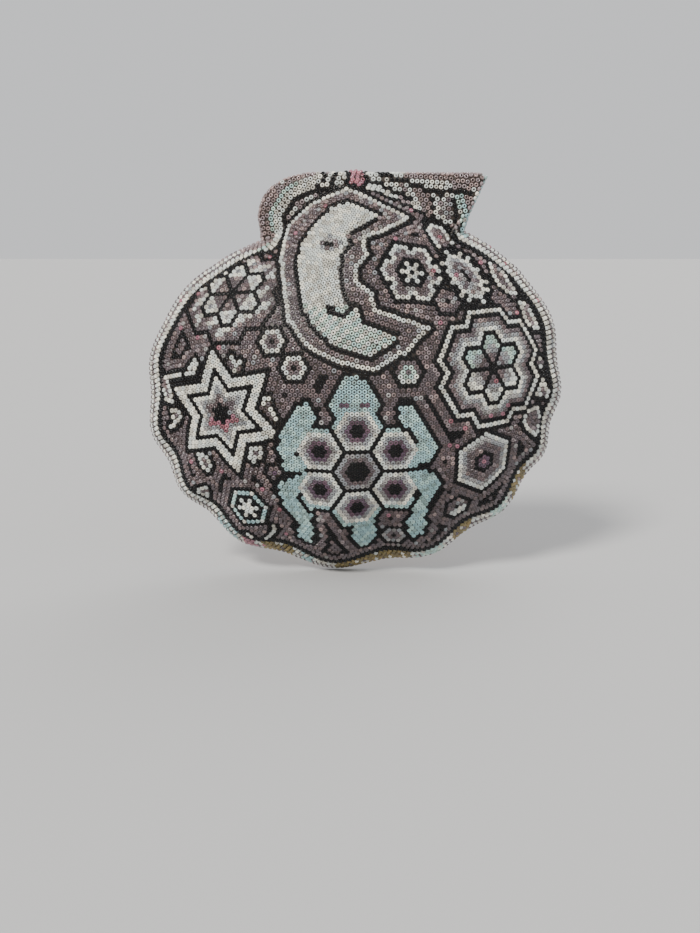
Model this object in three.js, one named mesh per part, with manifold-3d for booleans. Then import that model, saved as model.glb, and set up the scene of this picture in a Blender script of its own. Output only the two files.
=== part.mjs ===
// A scallop shell valve whose outer face is covered in glass seed-bead work set in beeswax.
// Millimetres, +Z up. The beads face -Y. The origin is the middle of the shell's hinge, on the flat
// back plane (Y = 0), and the round disc of the shell hangs below it. Outlines are drawn with Z = 0
// at the beaded top edge of the ears, and the whole object is lifted by HINGE_TO_EDGE at the end.
import * as THREE from 'three';
import { mergeVertices } from 'three/addons/utils/BufferGeometryUtils.js';
import Module from 'manifold-3d';

const wasm = await Module();
wasm.setup();

// ---- driving dimensions ----
const HINGE_TO_EDGE = 3.4;
const DISC_CENTRE_Z = -79.5;
const DOME_DEPTH = 43;
const DOME_POWER = 0.75;
const BEAD_HEIGHT = 1.4;
const WAX_THICKNESS = 1.2;
const SHELL_THICKNESS = 3.4;
const GAP = 0.3;

// radius of the disc about its centre every 20 degrees, from +X towards +Z
const RIM_RADII = [85.2, 82.4, 75.6, 71, 76.5, 76, 65.5, 70.5, 80, 85.5, 89, 88.8, 87, 85, 84.3, 85.2, 86.2, 86.3];
const RIM_STEP = 20;
const BEAK_RISE = 3.6;
const BEAK_WIDTH = 9;

// folds fan out from the umbo; each number is a valley's angle from straight down
const UMBO_Z = 4;
const FOLD_VALLEYS = [-62, -52, -42.5, -33, -23.5, -11, 4.5, 18, 29.5, 38, 47, 57];
const FOLD_LENGTH = 165;
const FOLD_HEIGHT = 3.6;
const FOLD_OUTLINE = 3;

// outlines of the two ears: the upper corners, then down to the notch and back inside the dome
const EAR_RIGHT = [[4, 0], [54, 0], [52, -9], [47, -16], [43, -24.5], [30, -30], [4, -14]];
const EAR_LEFT = [[-4, 0], [-19, 0], [-27.5, -1.8], [-34.5, -5.8], [-38.5, -11], [-40, -18], [-38, -27.5],
  [-28, -32], [-4, -14]];
const EAR_ROUND = 2.2;
const EAR_RIGHT_HEIGHT = { root: 8.5, slope: 0.045 };
const EAR_LEFT_HEIGHT = { root: 11.5, slope: 0.17 };

const SECTORS = 60;
const RINGS = [0.25, 0.47, 0.66, 0.8, 0.9, 0.965, 1];

const radians = THREE.MathUtils.degToRad;
const degrees = THREE.MathUtils.radToDeg;

// ---- the form of the shell ----

// smooth closed curve through RIM_RADII, with the beak of the umbo added at the top
function discRadius(angle) {
  const count = RIM_RADII.length;
  const place = THREE.MathUtils.euclideanModulo(angle, 360) / RIM_STEP;
  const k = Math.floor(place);
  const t = place - k;
  const [a, b, c, d] = [-1, 0, 1, 2].map((step) => RIM_RADII[(k + step + count) % count]);
  const curve = b + 0.5 * t * (c - a + t * (2 * a - 5 * b + 4 * c - d + t * (3 * (b - c) + d - a)));
  const fromTop = THREE.MathUtils.euclideanModulo(angle - 90 + 180, 360) - 180;
  return curve + BEAK_RISE * Math.exp(-((fromTop / BEAK_WIDTH) ** 2));
}

// -0.5 in a valley and +0.5 on a ridge, growing from nothing at the umbo to full at the margin
function fold(x, z) {
  const angle = degrees(Math.atan2(x, UMBO_Z - z));
  const reach = Math.min(Math.hypot(x, UMBO_Z - z) / FOLD_LENGTH, 1.2) ** 1.6;
  const next = FOLD_VALLEYS.findIndex((valley) => valley > angle);
  if (next < 1) return 0;
  const [low, high] = [FOLD_VALLEYS[next - 1], FOLD_VALLEYS[next]];
  return -0.5 * Math.cos(2 * Math.PI * (angle - low) / (high - low)) * reach;
}

function rimRadius(angle) {
  const disc = discRadius(angle);
  const x = disc * Math.cos(radians(angle));
  const z = DISC_CENTRE_Z + disc * Math.sin(radians(angle));
  return disc + FOLD_OUTLINE * fold(x, z);
}

// point of the dome at a share s of the rim radius, t millimetres under the outer surface
function domePoint(angle, s, t) {
  const r = s * (rimRadius(angle) - t);
  const x = r * Math.cos(radians(angle));
  const z = DISC_CENTRE_Z + r * Math.sin(radians(angle));
  const cap = (DOME_DEPTH - t) * (1 - s * s) ** DOME_POWER;
  const ridge = FOLD_HEIGHT * fold(x, z) * s * s * Math.min(1, (1 - s) * 14);
  return [x, -(cap + ridge), z];
}

// ---- solids ----

function meshToSolid(geometry) {
  const bare = geometry.clone();
  bare.deleteAttribute('normal');
  bare.deleteAttribute('uv');
  const merged = mergeVertices(bare, 1e-4);
  const vertProperties = new Float32Array(merged.attributes.position.array);
  const triVerts = new Uint32Array(merged.index.array);
  return new wasm.Manifold(new wasm.Mesh({ numProp: 3, vertProperties, triVerts }));
}

function solidToGeometry(solid) {
  const mesh = solid.getMesh();
  const geometry = new THREE.BufferGeometry();
  geometry.setAttribute('position', new THREE.BufferAttribute(mesh.vertProperties, 3));
  geometry.setIndex(new THREE.BufferAttribute(mesh.triVerts, 1));
  geometry.computeVertexNormals();
  return geometry;
}

// the dome filled down to the plane Y = back
function domeSolid(t, back) {
  const points = [[0, -(DOME_DEPTH - t), DISC_CENTRE_Z]];
  for (const s of RINGS) {
    for (let j = 0; j < SECTORS; j += 1) points.push(domePoint(j * 360 / SECTORS, s, t));
  }
  if (back > 0) {
    const rim = points.slice(-SECTORS);
    points.push(...rim.map(([x, , z]) => [x, back, z]));
  }
  points.push([0, back, DISC_CENTRE_Z]);
  const rows = RINGS.length + (back > 0 ? 1 : 0);
  const at = (row, j) => 1 + row * SECTORS + (j % SECTORS);
  const faces = [];
  for (let j = 0; j < SECTORS; j += 1) {
    faces.push(0, at(0, j), at(0, j + 1));
    for (let row = 1; row < rows; row += 1) {
      faces.push(at(row - 1, j), at(row, j), at(row, j + 1));
      faces.push(at(row - 1, j), at(row, j + 1), at(row - 1, j + 1));
    }
    faces.push(points.length - 1, at(rows - 1, j + 1), at(rows - 1, j));
  }
  const geometry = new THREE.BufferGeometry();
  geometry.setAttribute('position', new THREE.Float32BufferAttribute(points.flat(), 3));
  geometry.setIndex(faces);
  return meshToSolid(geometry);
}

// moves every side of a closed outline inwards by d millimetres (outwards when d is negative)
function inset(outline, d) {
  const turn = THREE.ShapeUtils.area(outline.map(([x, z]) => new THREE.Vector2(x, z))) > 0 ? 1 : -1;
  const count = outline.length;
  return outline.map((point, k) => {
    const here = new THREE.Vector2(...point);
    const before = here.clone().sub(new THREE.Vector2(...outline[(k + count - 1) % count])).normalize();
    const after = new THREE.Vector2(...outline[(k + 1) % count]).sub(here).normalize();
    const inward = new THREE.Vector2(-before.y - after.y, before.x + after.x).multiplyScalar(turn);
    const length = inward.length() / 2;
    const moved = here.addScaledVector(inward.normalize(), d / Math.max(length, 0.5));
    return [moved.x, moved.y];
  });
}

// an outline in X and Z drawn out along -Y from y = back to y = back - depth
function prismGeometry(outline, depth, back, round = 0) {
  const shape = new THREE.Shape(outline.map(([x, z]) => new THREE.Vector2(x, z)));
  const geometry = new THREE.ExtrudeGeometry(shape, {
    depth: depth - round,
    bevelEnabled: round > 0,
    bevelThickness: round,
    bevelSize: round,
    bevelOffset: -round,
    bevelSegments: 2,
  });
  geometry.rotateX(Math.PI / 2);
  return geometry.translate(0, back, 0);
}

const prism = (outline) => meshToSolid(prismGeometry(outline, DOME_DEPTH + 10, 5));

// a flat ear with a rounded front edge; its front face slopes away from the umbo
function earSolid(outline, height, t, back) {
  const geometry = prismGeometry(inset(outline, t), height.root, 0, EAR_ROUND);
  const position = geometry.attributes.position;
  for (let k = 0; k < position.count; k += 1) {
    const front = height.root - t - height.slope * Math.abs(position.getX(k));
    const y = position.getY(k);
    position.setY(k, y < 0 ? y * front / height.root : back);
  }
  return meshToSolid(geometry);
}

// everything lying at least t millimetres under the outer surface
function nested(t, back) {
  return domeSolid(t, back)
    .add(earSolid(EAR_RIGHT, EAR_RIGHT_HEIGHT, t, back))
    .add(earSolid(EAR_LEFT, EAR_LEFT_HEIGHT, t, back));
}

// ---- outlines of the motifs, [x, z] ----

function lobed(x, z, radiusX, radiusZ, lobes, depth, turn = 0) {
  const steps = 3 * Math.max(lobes, 6);
  return Array.from({ length: steps }, (_, k) => {
    const angle = 2 * Math.PI * k / steps;
    const r = 1 + depth * Math.cos(lobes * (angle - radians(turn)));
    return [x + radiusX * r * Math.cos(angle), z + radiusZ * r * Math.sin(angle)];
  });
}

function hexagon(x, z, radius) {
  return Array.from({ length: 6 }, (_, k) => {
    const angle = radians(60 * k);
    return [x + radius * Math.cos(angle), z + radius * Math.sin(angle)];
  });
}

// a six-pointed star: each notch lies a third of the way out from the centre to its two tips
function hexagram([cx, cz], tips) {
  return tips.flatMap(([x, z], k) => {
    const [nx, nz] = tips[(k + 1) % tips.length];
    return [[x, z], [(cx + x + nx) / 3, (cz + z + nz) / 3]];
  });
}

const mirrored = (outline, shift) => outline.map(([x, z]) => [shift - x, z]);

// the band of rows along the margin, from one ear's notch round the bottom to the other
function borderBand(width) {
  const [first, last, step] = [-235, 53, 12];
  const arc = (grow) => Array.from({ length: (last - first) / step + 1 }, (_, k) => {
    const angle = first + k * step;
    const r = rimRadius(angle) + grow;
    return [r * Math.cos(radians(angle)), DISC_CENTRE_Z + r * Math.sin(radians(angle))];
  });
  return [...arc(6), ...arc(-width).reverse()];
}

const BORDER_WIDTH = 6.5;
const CELL_RADIUS = 8.2;

const EAR_RIGHT_FIELD = [[12, 6], [60, 6], [60, -26], [43.5, -26.5], [31, -15], [18, -4]];
const EAR_LEFT_FIELD = [[-13, 6], [-48, 6], [-46, -32], [-37, -29], [-31, -17], [-22, -9], [-15, -2]];
const UMBO_FIELD = [[-10, 6], [9, 6], [13, -4], [6, -4.5], [0, -2.5], [-8, -5], [-17, -9]];

const MOON_FACE = [[-3, -12.5], [9.5, -17.5], [-3, -24.5], [-2, -29], [-6, -32], [-6, -44], [-4, -50.5],
  [1, -53], [2.5, -58], [17, -63.5], [7, -71], [-7, -67.5], [-16, -60], [-20.5, -52.5], [-23, -36.5],
  [-21, -28], [-15, -20], [-8.5, -14]];
const MOON_HALO = [[-3, -6.5], [23, -19], [4, -27], [5, -33], [1, -37.5], [1.5, -43], [7, -46.5], [8, -52.5],
  [30, -60], [19.5, -70], [8, -76.5], [-6, -74.5], [-18.5, -68], [-26.5, -57.5], [-30, -34.5], [-27, -22],
  [-18, -13]];

const RING_FLOWER = [[35, -62], [43, -61], [44, -55.5], [54, -54], [57.5, -59], [63.5, -58.5], [71, -70],
  [73.5, -80.5], [68, -92], [63.5, -93.5], [61, -99], [47.5, -99], [40.5, -96], [33.5, -84.5], [32, -74]];

const STAR_CENTRE = [-52, -93.6];
const STAR_TIPS = [[-56, -70.5], [-73, -85.5], [-72, -110.5], [-48.5, -118.5], [-32, -102.5], [-35.5, -78.5]];

const TURTLE_HEAD = [[-2.5, -78.5], [0.5, -78.5], [5.5, -83], [9, -88.5], [6, -95.5], [-6, -95.5],
  [-10, -89.5], [-6, -81]];
const TURTLE_CELLS = [[1, -116.6], [0.5, -100.5], [15.5, -108], [16.5, -125.6], [1.6, -132.6], [-13.7, -125.6],
  [-13.7, -109]];
const TURTLE_ARM = [[17.5, -89.5], [22, -89.5], [26, -97], [31.5, -108], [30, -115], [22, -116.5], [26, -108],
  [16.5, -94]];
const TURTLE_LEG = [[24, -119], [32, -118], [33.5, -122], [31, -133], [28, -139], [28, -145], [24, -147],
  [21.5, -143.5], [25, -136], [26.5, -127]];
const TURTLE_TAIL = [[-1, -141.5], [8.5, -141.5], [6.5, -147], [3.5, -154], [-1.5, -145.5]];

const WHITE = 0xd2d6cf;
const MINT = 0xa9c4bd;
const TURQUOISE = 0x9fc3c6;
const MAUVE = 0x8d7480;
const BLACK = 0x101014;
const PEARL = 0xb9aeb0;

// name, colour, outline: an earlier motif keeps the beads that it shares with a later one
const MOTIFS = [
  ['border_beads', WHITE, borderBand(BORDER_WIDTH)],
  ['ear_right_beads', MAUVE, EAR_RIGHT_FIELD],
  ['ear_left_beads', MAUVE, EAR_LEFT_FIELD],
  ['umbo_beads', PEARL, UMBO_FIELD],
  ['moon_face_beads', WHITE, MOON_FACE],
  ['moon_halo_beads', MAUVE, MOON_HALO],
  ['sun_flower_beads', PEARL, lobed(22, -39.5, 11, 11.5, 6, 0.07, 30)],
  ['sun_bud_beads', MAUVE, lobed(36, -50.5, 4.6, 4.6, 6, 0)],
  ['zigzag_flower_beads', WHITE, lobed(43.5, -41, 8.5, 7.8, 8, 0.1)],
  ['ear_bud_beads', MAUVE, lobed(33.5, -25.5, 4.4, 4.4, 6, 0)],
  ['half_flower_beads', MINT, lobed(20.5, -77, 5.4, 5.4, 6, 0)],
  ['ring_flower_beads', PEARL, RING_FLOWER],
  ['rosette_beads', MAUVE, lobed(51.7, -114, 10.2, 12, 6, 0.04)],
  ['turtle_head_beads', TURQUOISE, TURTLE_HEAD],
  ...TURTLE_CELLS.map(([x, z], k) => [`turtle_cell_${k + 1}_beads`, PEARL, hexagon(x, z, CELL_RADIUS)]),
  ['turtle_arm_right_beads', TURQUOISE, TURTLE_ARM],
  ['turtle_arm_left_beads', TURQUOISE, mirrored(TURTLE_ARM, 1)],
  ['turtle_leg_right_beads', TURQUOISE, TURTLE_LEG],
  ['turtle_leg_left_beads', TURQUOISE, mirrored(TURTLE_LEG, 3)],
  ['turtle_tail_beads', TURQUOISE, TURTLE_TAIL],
  ['star_beads', WHITE, hexagram(STAR_CENTRE, STAR_TIPS)],
  ['petal_flower_beads', WHITE, lobed(-49, -49, 13, 13, 6, 0.05, 30)],
  ['twin_flower_upper_beads', WHITE, lobed(-32, -65.5, 5, 5, 6, 0)],
  ['twin_flower_lower_beads', WHITE, lobed(-23.5, -75.5, 5.6, 5.6, 6, 0)],
  ['low_flower_beads', WHITE, lobed(-43.5, -134.4, 8.6, 8.6, 6, 0.06)],
];

// ---- the pieces ----

const WAX_DEPTH = BEAD_HEIGHT + GAP;
const SHELL_DEPTH = WAX_DEPTH + WAX_THICKNESS + GAP;
const CUT_PAST_BACK = 1;

const object = new THREE.Group();
object.position.z = HINGE_TO_EDGE;

function addPiece(name, solid, color, roughness) {
  const material = new THREE.MeshStandardMaterial({ color, roughness, metalness: 0 });
  const mesh = new THREE.Mesh(solidToGeometry(solid), material);
  mesh.name = name;
  object.add(mesh);
}

const shell = nested(SHELL_DEPTH, 0).subtract(domeSolid(SHELL_DEPTH + SHELL_THICKNESS, CUT_PAST_BACK));
addPiece('shell_valve', shell, 0xd8b9a0, 0.6);

const wax = nested(WAX_DEPTH, 0).subtract(nested(WAX_DEPTH + WAX_THICKNESS, CUT_PAST_BACK));
addPiece('wax_coat', wax, 0x2a2018, 0.7);

let field = nested(0, 0).subtract(nested(BEAD_HEIGHT, CUT_PAST_BACK));
for (const [name, color, outline] of MOTIFS) {
  addPiece(name, field.intersect(prism(outline)), color, 0.2);
  field = field.subtract(prism(inset(outline, -GAP)));
}
addPiece('field_beads', field, BLACK, 0.2);

export default object;
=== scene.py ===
"""A scallop shell valve covered in glass seed-bead work set in beeswax.

Builds the shell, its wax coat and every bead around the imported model, as an add-on that is run
as a script. Outlines and lengths named in millimetres are measured from the beaded top edge of the
ears: X to the right, Z up, and the beads facing -Y. to_metres() takes them into the scene.
"""
import math
import random
from collections import deque
from functools import lru_cache

import bmesh
import bpy
from bpy.props import FloatProperty, FloatVectorProperty, IntProperty, PointerProperty
from mathutils import Matrix, Vector
from mathutils.bvhtree import BVHTree
from mathutils.kdtree import KDTree


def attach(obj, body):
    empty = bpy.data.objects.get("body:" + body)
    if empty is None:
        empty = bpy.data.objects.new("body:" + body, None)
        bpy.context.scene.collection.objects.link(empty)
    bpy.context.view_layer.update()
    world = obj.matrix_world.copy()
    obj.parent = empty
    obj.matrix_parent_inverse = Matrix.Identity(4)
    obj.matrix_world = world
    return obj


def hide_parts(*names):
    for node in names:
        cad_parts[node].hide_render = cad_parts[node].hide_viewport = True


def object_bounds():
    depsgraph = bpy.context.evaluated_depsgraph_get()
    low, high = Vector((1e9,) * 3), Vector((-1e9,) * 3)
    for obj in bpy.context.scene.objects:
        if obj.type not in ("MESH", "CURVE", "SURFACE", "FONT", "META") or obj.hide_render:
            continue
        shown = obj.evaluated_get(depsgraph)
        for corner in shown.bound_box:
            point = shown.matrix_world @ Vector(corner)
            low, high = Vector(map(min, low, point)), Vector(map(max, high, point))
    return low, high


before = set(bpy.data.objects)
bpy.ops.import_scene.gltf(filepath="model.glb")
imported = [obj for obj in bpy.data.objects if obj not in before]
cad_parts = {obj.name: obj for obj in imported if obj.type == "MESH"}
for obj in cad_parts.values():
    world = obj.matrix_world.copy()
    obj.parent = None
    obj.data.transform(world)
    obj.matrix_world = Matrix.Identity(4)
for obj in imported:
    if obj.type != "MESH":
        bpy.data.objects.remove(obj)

bl_info = {
    "name": "Beaded Scallop Shell",
    "version": (1, 0, 0),
    "blender": (4, 5, 0),
    "location": "View3D > Sidebar > Beaded Shell",
    "description": "Lays glass seed beads in wax over a scallop shell",
    "category": "Add Mesh",
}

CAD_LOW, CAD_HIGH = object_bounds()
MM = 0.001
BODY = "root"

# ---------------------------------------------------------------- the form of the shell, in mm
TOP_EDGE = CAD_HIGH.z / MM - 1.35  # the beak of the umbo stands 1.35 mm above the ears
DISC_CENTRE_Z = -79.5
DOME_DEPTH = -CAD_LOW.y / MM
DOME_POWER = 0.75  # 0.5 would be an ellipse, 1 a parabola

RIM_RADII = (85.2, 82.4, 75.6, 71, 76.5, 76, 65.5, 70.5, 80, 85.5, 89, 88.8, 87, 85, 84.3, 85.2,
             86.2, 86.3)
RIM_STEP = 20  # degrees from one of the radii to the next, from +X towards +Z
BEAK_RISE = 3.6
BEAK_WIDTH = 9  # degrees

UMBO_Z = 4
# the grooves between the ribs, in degrees about the umbo from straight down
FOLD_VALLEYS = (-62, -52, -42.5, -33, -23.5, -11, 4.5, 18, 29.5, 38, 47, 57)
FOLD_LENGTH = 165  # how far from the umbo a rib has its full size
FOLD_POWER = 1.6
FOLD_MOST = 1.2
FOLD_HEIGHT = 3.6
FOLD_FADE = 14  # the ribs fade out over the last 1/14 of a radius
FOLD_OUTLINE = 3  # how far the ribs wave the margin

EAR_RIGHT = ((4, 0), (54, 0), (52, -9), (47, -16), (43, -24.5), (30, -30), (4, -14))
EAR_LEFT = ((-4, 0), (-19, 0), (-27.5, -1.8), (-34.5, -5.8), (-38.5, -11), (-40, -18), (-38, -27.5),
            (-28, -32), (-4, -14))
EAR_SPAN = (40, 136)  # the angles about the disc centre where a radius can cross an ear
EAR_REACH = 40  # further than an ear stands beyond the disc
EAR_ROUND = 2.2  # radius of an ear's front edge
EARS = ((EAR_RIGHT, 8.5, 0.045), (EAR_LEFT, 11.5, 0.17))  # outline, height at the root, slope
CREASE = 2.0  # how softly an ear runs into the dome
EDGE_STEP = 0.5
EDGE_HALVINGS = 10
RELIEF_FADE = 4  # the relief of a skin fades out over its last 4 mm of height
WELD = 1e-5


def disc_radius(angle):
    """Radius of the disc: a smooth closed curve through RIM_RADII, with the beak on top."""
    place = (angle % 360) / RIM_STEP
    k = int(place)
    t = place - k
    a, b, c, d = (RIM_RADII[(k + step) % len(RIM_RADII)] for step in (-1, 0, 1, 2))
    curve = b + 0.5 * t * (c - a + t * (2 * a - 5 * b + 4 * c - d + t * (3 * (b - c) + d - a)))
    from_top = (angle - 90 + 180) % 360 - 180
    return curve + BEAK_RISE * math.exp(-((from_top / BEAK_WIDTH) ** 2))


def fold(x, z):
    """-0.5 in a valley between two ribs, +0.5 on a rib, fading to nothing at the umbo."""
    angle = math.degrees(math.atan2(x, UMBO_Z - z))
    size = min(math.hypot(x, UMBO_Z - z) / FOLD_LENGTH, FOLD_MOST) ** FOLD_POWER
    for low, high in zip(FOLD_VALLEYS, FOLD_VALLEYS[1:]):
        if low <= angle < high:
            return -0.5 * math.cos(2 * math.pi * (angle - low) / (high - low)) * size
    return 0.0


def polar(angle, radius):
    """The point at an angle and radius about the disc centre."""
    turn = math.radians(angle)
    return radius * math.cos(turn), DISC_CENTRE_Z + radius * math.sin(turn)


@lru_cache(maxsize=None)
def rim_radius(angle):
    """Radius of the disc with its wavy margin."""
    disc = disc_radius(angle)
    return disc + FOLD_OUTLINE * fold(*polar(angle, disc))


def edge_distance(x, z, start, end):
    """Distance to the straight line between two points."""
    (ax, az), (bx, bz) = start, end
    ex, ez = bx - ax, bz - az
    share = max(0.0, min(1.0, ((x - ax) * ex + (z - az) * ez) / (ex * ex + ez * ez)))
    return math.hypot(x - ax - share * ex, z - az - share * ez)


def off_line(x, z, line):
    """Distance from an open line of points."""
    return min(edge_distance(x, z, start, end) for start, end in zip(line, line[1:]))


def inside_distance(x, z, outline):
    """Distance to a closed outline, above zero inside it."""
    best = math.inf
    inside = False
    for k, (ax, az) in enumerate(outline):
        bx, bz = outline[k - 1]
        best = min(best, edge_distance(x, z, (ax, az), (bx, bz)))
        if (az > z) != (bz > z) and x < ax + (z - az) / (bz - az) * (bx - ax):
            inside = not inside
    return best if inside else -best


def dome_height(x, z, angle, radius, under):
    """Height of the ribbed dome in front of the back plane."""
    s = radius / (rim_radius(angle) - under)
    if s >= 1:
        return 0.0
    cap = (DOME_DEPTH - under) * (1 - s * s) ** DOME_POWER
    return max(0.0, cap + FOLD_HEIGHT * fold(x, z) * s * s * min(1.0, (1 - s) * FOLD_FADE))


def ear_height(x, z, under):
    """Height of the ears in front of the back plane."""
    best = 0.0
    for outline, root, slope in EARS:
        edge = inside_distance(x, z, outline) - under
        if edge > 0:
            front = root - under - slope * abs(x)
            drop = max(0.0, EAR_ROUND - edge)
            best = max(best, front - EAR_ROUND + math.sqrt(EAR_ROUND ** 2 - drop ** 2))
    return best


def crosses_ear(angle):
    return EAR_SPAN[0] < angle % 360 < EAR_SPAN[1]


def height(angle, radius, under, ears=True):
    """How far the surface stands in front of the back plane, under mm below the bead tops."""
    x, z = polar(angle, radius)
    dome = dome_height(x, z, angle, radius, under)
    if not (ears and crosses_ear(angle)):
        return dome
    ear = ear_height(x, z, under)
    if not dome or not ear:
        return max(dome, ear)
    return max(dome, ear) + max(CREASE - abs(dome - ear), 0.0) ** 2 / (4 * CREASE)


def reach(angle, under, ears=True):
    """Radius at which the surface comes down to the back plane."""
    rim = rim_radius(angle) - under
    if not (ears and crosses_ear(angle)):
        return rim
    far = rim + EAR_REACH
    while far > rim and not height(angle, far, under):
        far -= EDGE_STEP
    if far <= rim:
        return rim
    near = far
    far += EDGE_STEP
    for _ in range(EDGE_HALVINGS):
        middle = (near + far) / 2
        near, far = (middle, far) if height(angle, middle, under) else (near, middle)
    return near


def profile(angle, under, count, ears=True):
    """Points (radius, height) at equal steps along the surface, from the disc centre to the back."""
    steps = 3 * count
    rim = reach(angle, under, ears)
    line = []
    for k in range(steps):
        radius = rim * math.sin(math.pi / 2 * k / steps)
        line.append((radius, height(angle, radius, under, ears)))
    line += [(rim, height(angle, rim * 0.9999, under, ears)), (rim, 0.0)]
    return even_steps(line, count)


def even_steps(line, count):
    """count + 1 points at equal distances along an open line of 2-D or 3-D points."""
    points = [Vector(p) for p in line]
    lengths = [(b - a).length for a, b in zip(points, points[1:])]
    total = sum(lengths)
    out = [points[0]]
    k, gone = 0, 0.0
    for step in range(1, count):
        want = total * step / count
        while gone + lengths[k] < want:
            gone += lengths[k]
            k += 1
        out.append(points[k].lerp(points[k + 1], (want - gone) / lengths[k]))
    return out + [points[-1]]


def to_metres():
    """The matrix that takes millimetres from the top edge into the scene."""
    return Matrix.Translation((0, 0, TOP_EDGE * MM)) @ Matrix.Scale(MM, 4)


def lay_skin(bm, under, sectors, rings, ears=True, relief=None):
    """One face of the shell: a grid wrapped round the disc centre. Returns the rim's edges."""
    lines = [profile(360 * j / sectors, under, rings, ears) for j in range(sectors)]
    made = bmesh.ops.create_grid(bm, x_segments=sectors, y_segments=rings, size=1.0)
    for vert in made["verts"]:
        sector = round((vert.co.x + 1) / 2 * sectors) % sectors
        radius, front = lines[sector][round((vert.co.y + 1) / 2 * rings)]
        x, z = polar(360 * sector / sectors, radius)
        raised = relief(x, z) * min(1.0, front / RELIEF_FADE) if relief else 0.0
        vert.co = (x, -front - raised, z)
    bmesh.ops.remove_doubles(bm, verts=made["verts"], dist=WELD)
    skin = [v for v in made["verts"] if v.is_valid]
    bmesh.ops.recalc_face_normals(bm, faces=list({f for v in skin for f in v.link_faces}))
    return [e for e in {e for v in skin for e in v.link_edges} if e.is_boundary]


# ---------------------------------------------------------------- the outlines of the motifs, in mm
MOON = ((-3, -12.5), (9.5, -17.5), (-3, -24.5), (-2, -29), (-6, -32), (-6, -44), (-4, -50.5), (1, -53),
        (2.5, -58), (17, -63.5), (7, -71), (-7, -67.5), (-16, -60), (-20.5, -52.5), (-23, -36.5),
        (-21, -28), (-15, -20), (-8.5, -14))
MOON_EYE = ((-14.6, -28.8), (-10, -25.8), (-5.4, -28.4), (-10, -31))
MOON_MOUTH = ((-11, -53), (-8.5, -53.5), (-4, -55.5), (-1, -53), (0.5, -52))
HALO = ((-3, -6.5), (23, -19), (4, -27), (5, -33), (1, -37.5), (1.5, -43), (7, -46.5), (8, -52.5),
        (30, -60), (19.5, -70), (8, -76.5), (-6, -74.5), (-18.5, -68), (-26.5, -57.5), (-30, -34.5),
        (-27, -22), (-18, -13))
TURTLE_HEAD = ((-2, -78.5), (0, -78.5), (4, -81), (8.5, -86.5), (9, -89.5), (7, -93.5), (5.5, -96),
               (-5.5, -96), (-7.5, -93), (-9.5, -89.5), (-7, -84), (-4.5, -80.5))
ARM_LEFT = ((-22, -90), (-18, -89.5), (-15.5, -92.5), (-16.5, -96), (-18, -99.5), (-19, -104),
            (-15, -103.5), (-17.5, -116), (-25.5, -117), (-27, -115.5), (-29.5, -109.5),
            (-29.5, -104.5), (-24.5, -95))
LEG_LEFT = ((-21.5, -118.5), (-17, -120.5), (-17, -129.5), (-18, -138.5), (-16.5, -145.5),
            (-18.5, -149), (-22, -147.5), (-24, -144), (-22, -141), (-24, -137), (-28.5, -131.5),
            (-30.5, -126), (-28.5, -121.5))
ARM_RIGHT = ((18, -89.5), (21.5, -89.5), (21.5, -91.5), (26.5, -97), (31.5, -106), (32, -108),
             (29.5, -111.5), (21, -116.5), (16.5, -103.5), (20.5, -103.5), (18.5, -97.5), (17, -94))
LEG_RIGHT = ((27, -116), (32, -119), (33.5, -124), (30, -131), (27.5, -136), (28.5, -139),
             (28, -145.5), (24, -147), (22, -143), (21.5, -139), (24, -135), (22, -127), (21, -119.5))
SLITS = (
    ((-19.5, -103.5), (-22.5, -109)), ((-22.5, -127.5), (-18, -135)),
    ((19.5, -99), (23.5, -105.5)), ((25.5, -125), (23, -132)),
)
TAIL = ((2.5, -139.5), (7.5, -138.5), (8.5, -146), (3.5, -154), (-1, -146.5), (-1.5, -143))
STAR_CENTRE = (-52.8, -94.5)
FLAMES = (
    ((-63, -73), (-61, -76), (-66, -81.5), (-69, -79)),
    ((-49, -71), (-47, -74), (-43, -73), (-44, -78), (-48.5, -78.5), (-50.5, -73)),
    ((-79, -81.5), (-69.5, -79), (-69.5, -81.5), (-75.5, -83.5), (-73, -92), (-76.5, -92.5),
     (-79, -87.5)),
    ((-75, -94.5), (-70.5, -94.5), (-69.5, -97.5), (-74, -103.5), (-76, -102.5), (-74, -98)),
    ((-64, -111.5), (-59, -112.5), (-57, -117.5), (-59.5, -120.5), (-63, -116)),
    ((-36, -87), (-32, -87), (-32, -90.5), (-29.5, -96), (-34, -97), (-37, -92)),
    ((-41.5, -107), (-36, -107), (-36, -111.5), (-41, -115), (-42.5, -111)),
    ((52.5, -36), (56.5, -36), (65.5, -49), (64, -50.5), (56, -44.5)),
    ((65, -51.5), (69, -51.5), (74.5, -63), (74, -64.5), (68.5, -60.5)),
    ((73, -73.5), (76, -73.5), (76.5, -77.5), (73.5, -78)),
    ((73, -89), (76, -81.5), (79, -87.5), (78, -91.5)),
    ((67.5, -95), (74, -93), (76.5, -100), (74, -107), (68.5, -102)),
    ((-60, -126), (-66, -128), (-66, -131), (-60, -132)),
)
CRESCENT = ((-44, -147.5), (-41, -150.5), (-36.5, -149), (-33.5, -145.5), (-33.5, -142.5))
EAR_FIELDS = {
    "ear_right_beads": ((12, 6), (60, 6), (60, -26), (43.5, -26.5), (37, -21), (28, -17), (14, -10)),
    "ear_left_beads": ((-10, 6), (-48, 6), (-46, -32), (-33, -31), (-30.5, -33), (-28.5, -21), (-19, -11.5),
                       (-10, -7)),
}
EAR_BAND = ((5, 0.8), (31, -8), (46, -8.6), (60, 6), (5, 6))  # above the dark line across the right ear
UMBO_FIELD = ((-10, 6), (12, 6), (14, -10), (5, -7), (0, -5.2), (-3, -4.4), (-10, -7))
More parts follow.
